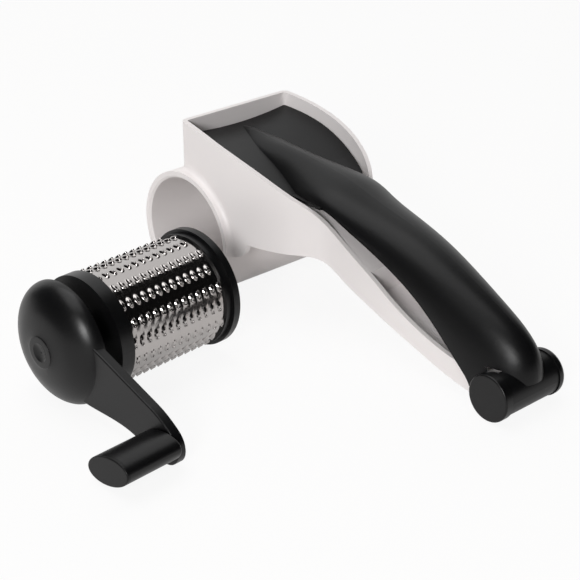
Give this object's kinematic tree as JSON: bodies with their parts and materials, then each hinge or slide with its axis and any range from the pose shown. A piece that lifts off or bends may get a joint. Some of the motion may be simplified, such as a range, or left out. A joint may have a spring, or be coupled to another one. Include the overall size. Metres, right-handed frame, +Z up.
{
  "type": "rotary cheese grater",
  "caption": "Hand rotary grater: moulded hopper, barrel and channel handle, hinged press arm, and a removable toothed drum with domed cover, crank and turning grip.",
  "frame": {"origin": "on the table, under the middle of everything as it lies", "axes": "+X from the barrel towards the hinge of the press arm, +Y away from the crank, +Z up"},
  "size_m": [0.2118, 0.1993, 0.0824],
  "materials": {
    "white_abs": "semi-gloss injection-moulded ABS, white",
    "black_abs": "satin injection-moulded ABS, black",
    "black_gloss": "satin to gloss moulded ABS, black",
    "stainless_sheet": "rolled and punched stainless steel",
    "steel_pin": "ground steel",
    "black_rubber": "moulded rubber"
  },
  "bodies": {
    "housing": {"housing": "white_abs"},
    "press_arm": {"press_arm": "black_abs", "pusher_foot": "black_abs", "pivot_pin": "steel_pin", "pivot_cap_near": "black_gloss", "pivot_cap_far": "black_gloss"},
    "drum": {"drum_sheet": "stainless_sheet", "drum_flange": "black_gloss", "drum_hub": "black_gloss"},
    "crank": {"crank": "black_gloss", "drive_shaft": "black_abs", "shaft_ring": "black_rubber", "shaft_screw": "steel_pin", "grip_axle": "steel_pin"},
    "grip": {"grip": "black_gloss", "grip_cap": "black_abs"}
  },
  "joints": [
    {"name": "press_arm_hinge", "type": "hinge", "parent": "housing", "child": "press_arm", "pos_m": [0.0956, 0.0627, 0.0103], "axis": [0, 1, 0], "range_deg": [0, 75]},
    {"name": "drum_turn", "type": "hinge", "parent": "housing", "child": "drum", "pos_m": [-0.03535, 0.00125, 0.0268], "axis": [0.0675, -0.9977, 0], "continuous": true},
    {"name": "crank_pull", "type": "slide", "parent": "drum", "child": "crank", "axis": [0.0675, -0.9977, 0], "range_m": [0, 0.04]},
    {"name": "grip_turn", "type": "hinge", "parent": "crank", "child": "grip", "pos_m": [0.0286, 0.00558, 0.0086], "axis": [0.0675, -0.9977, 0], "continuous": true}
  ]
}
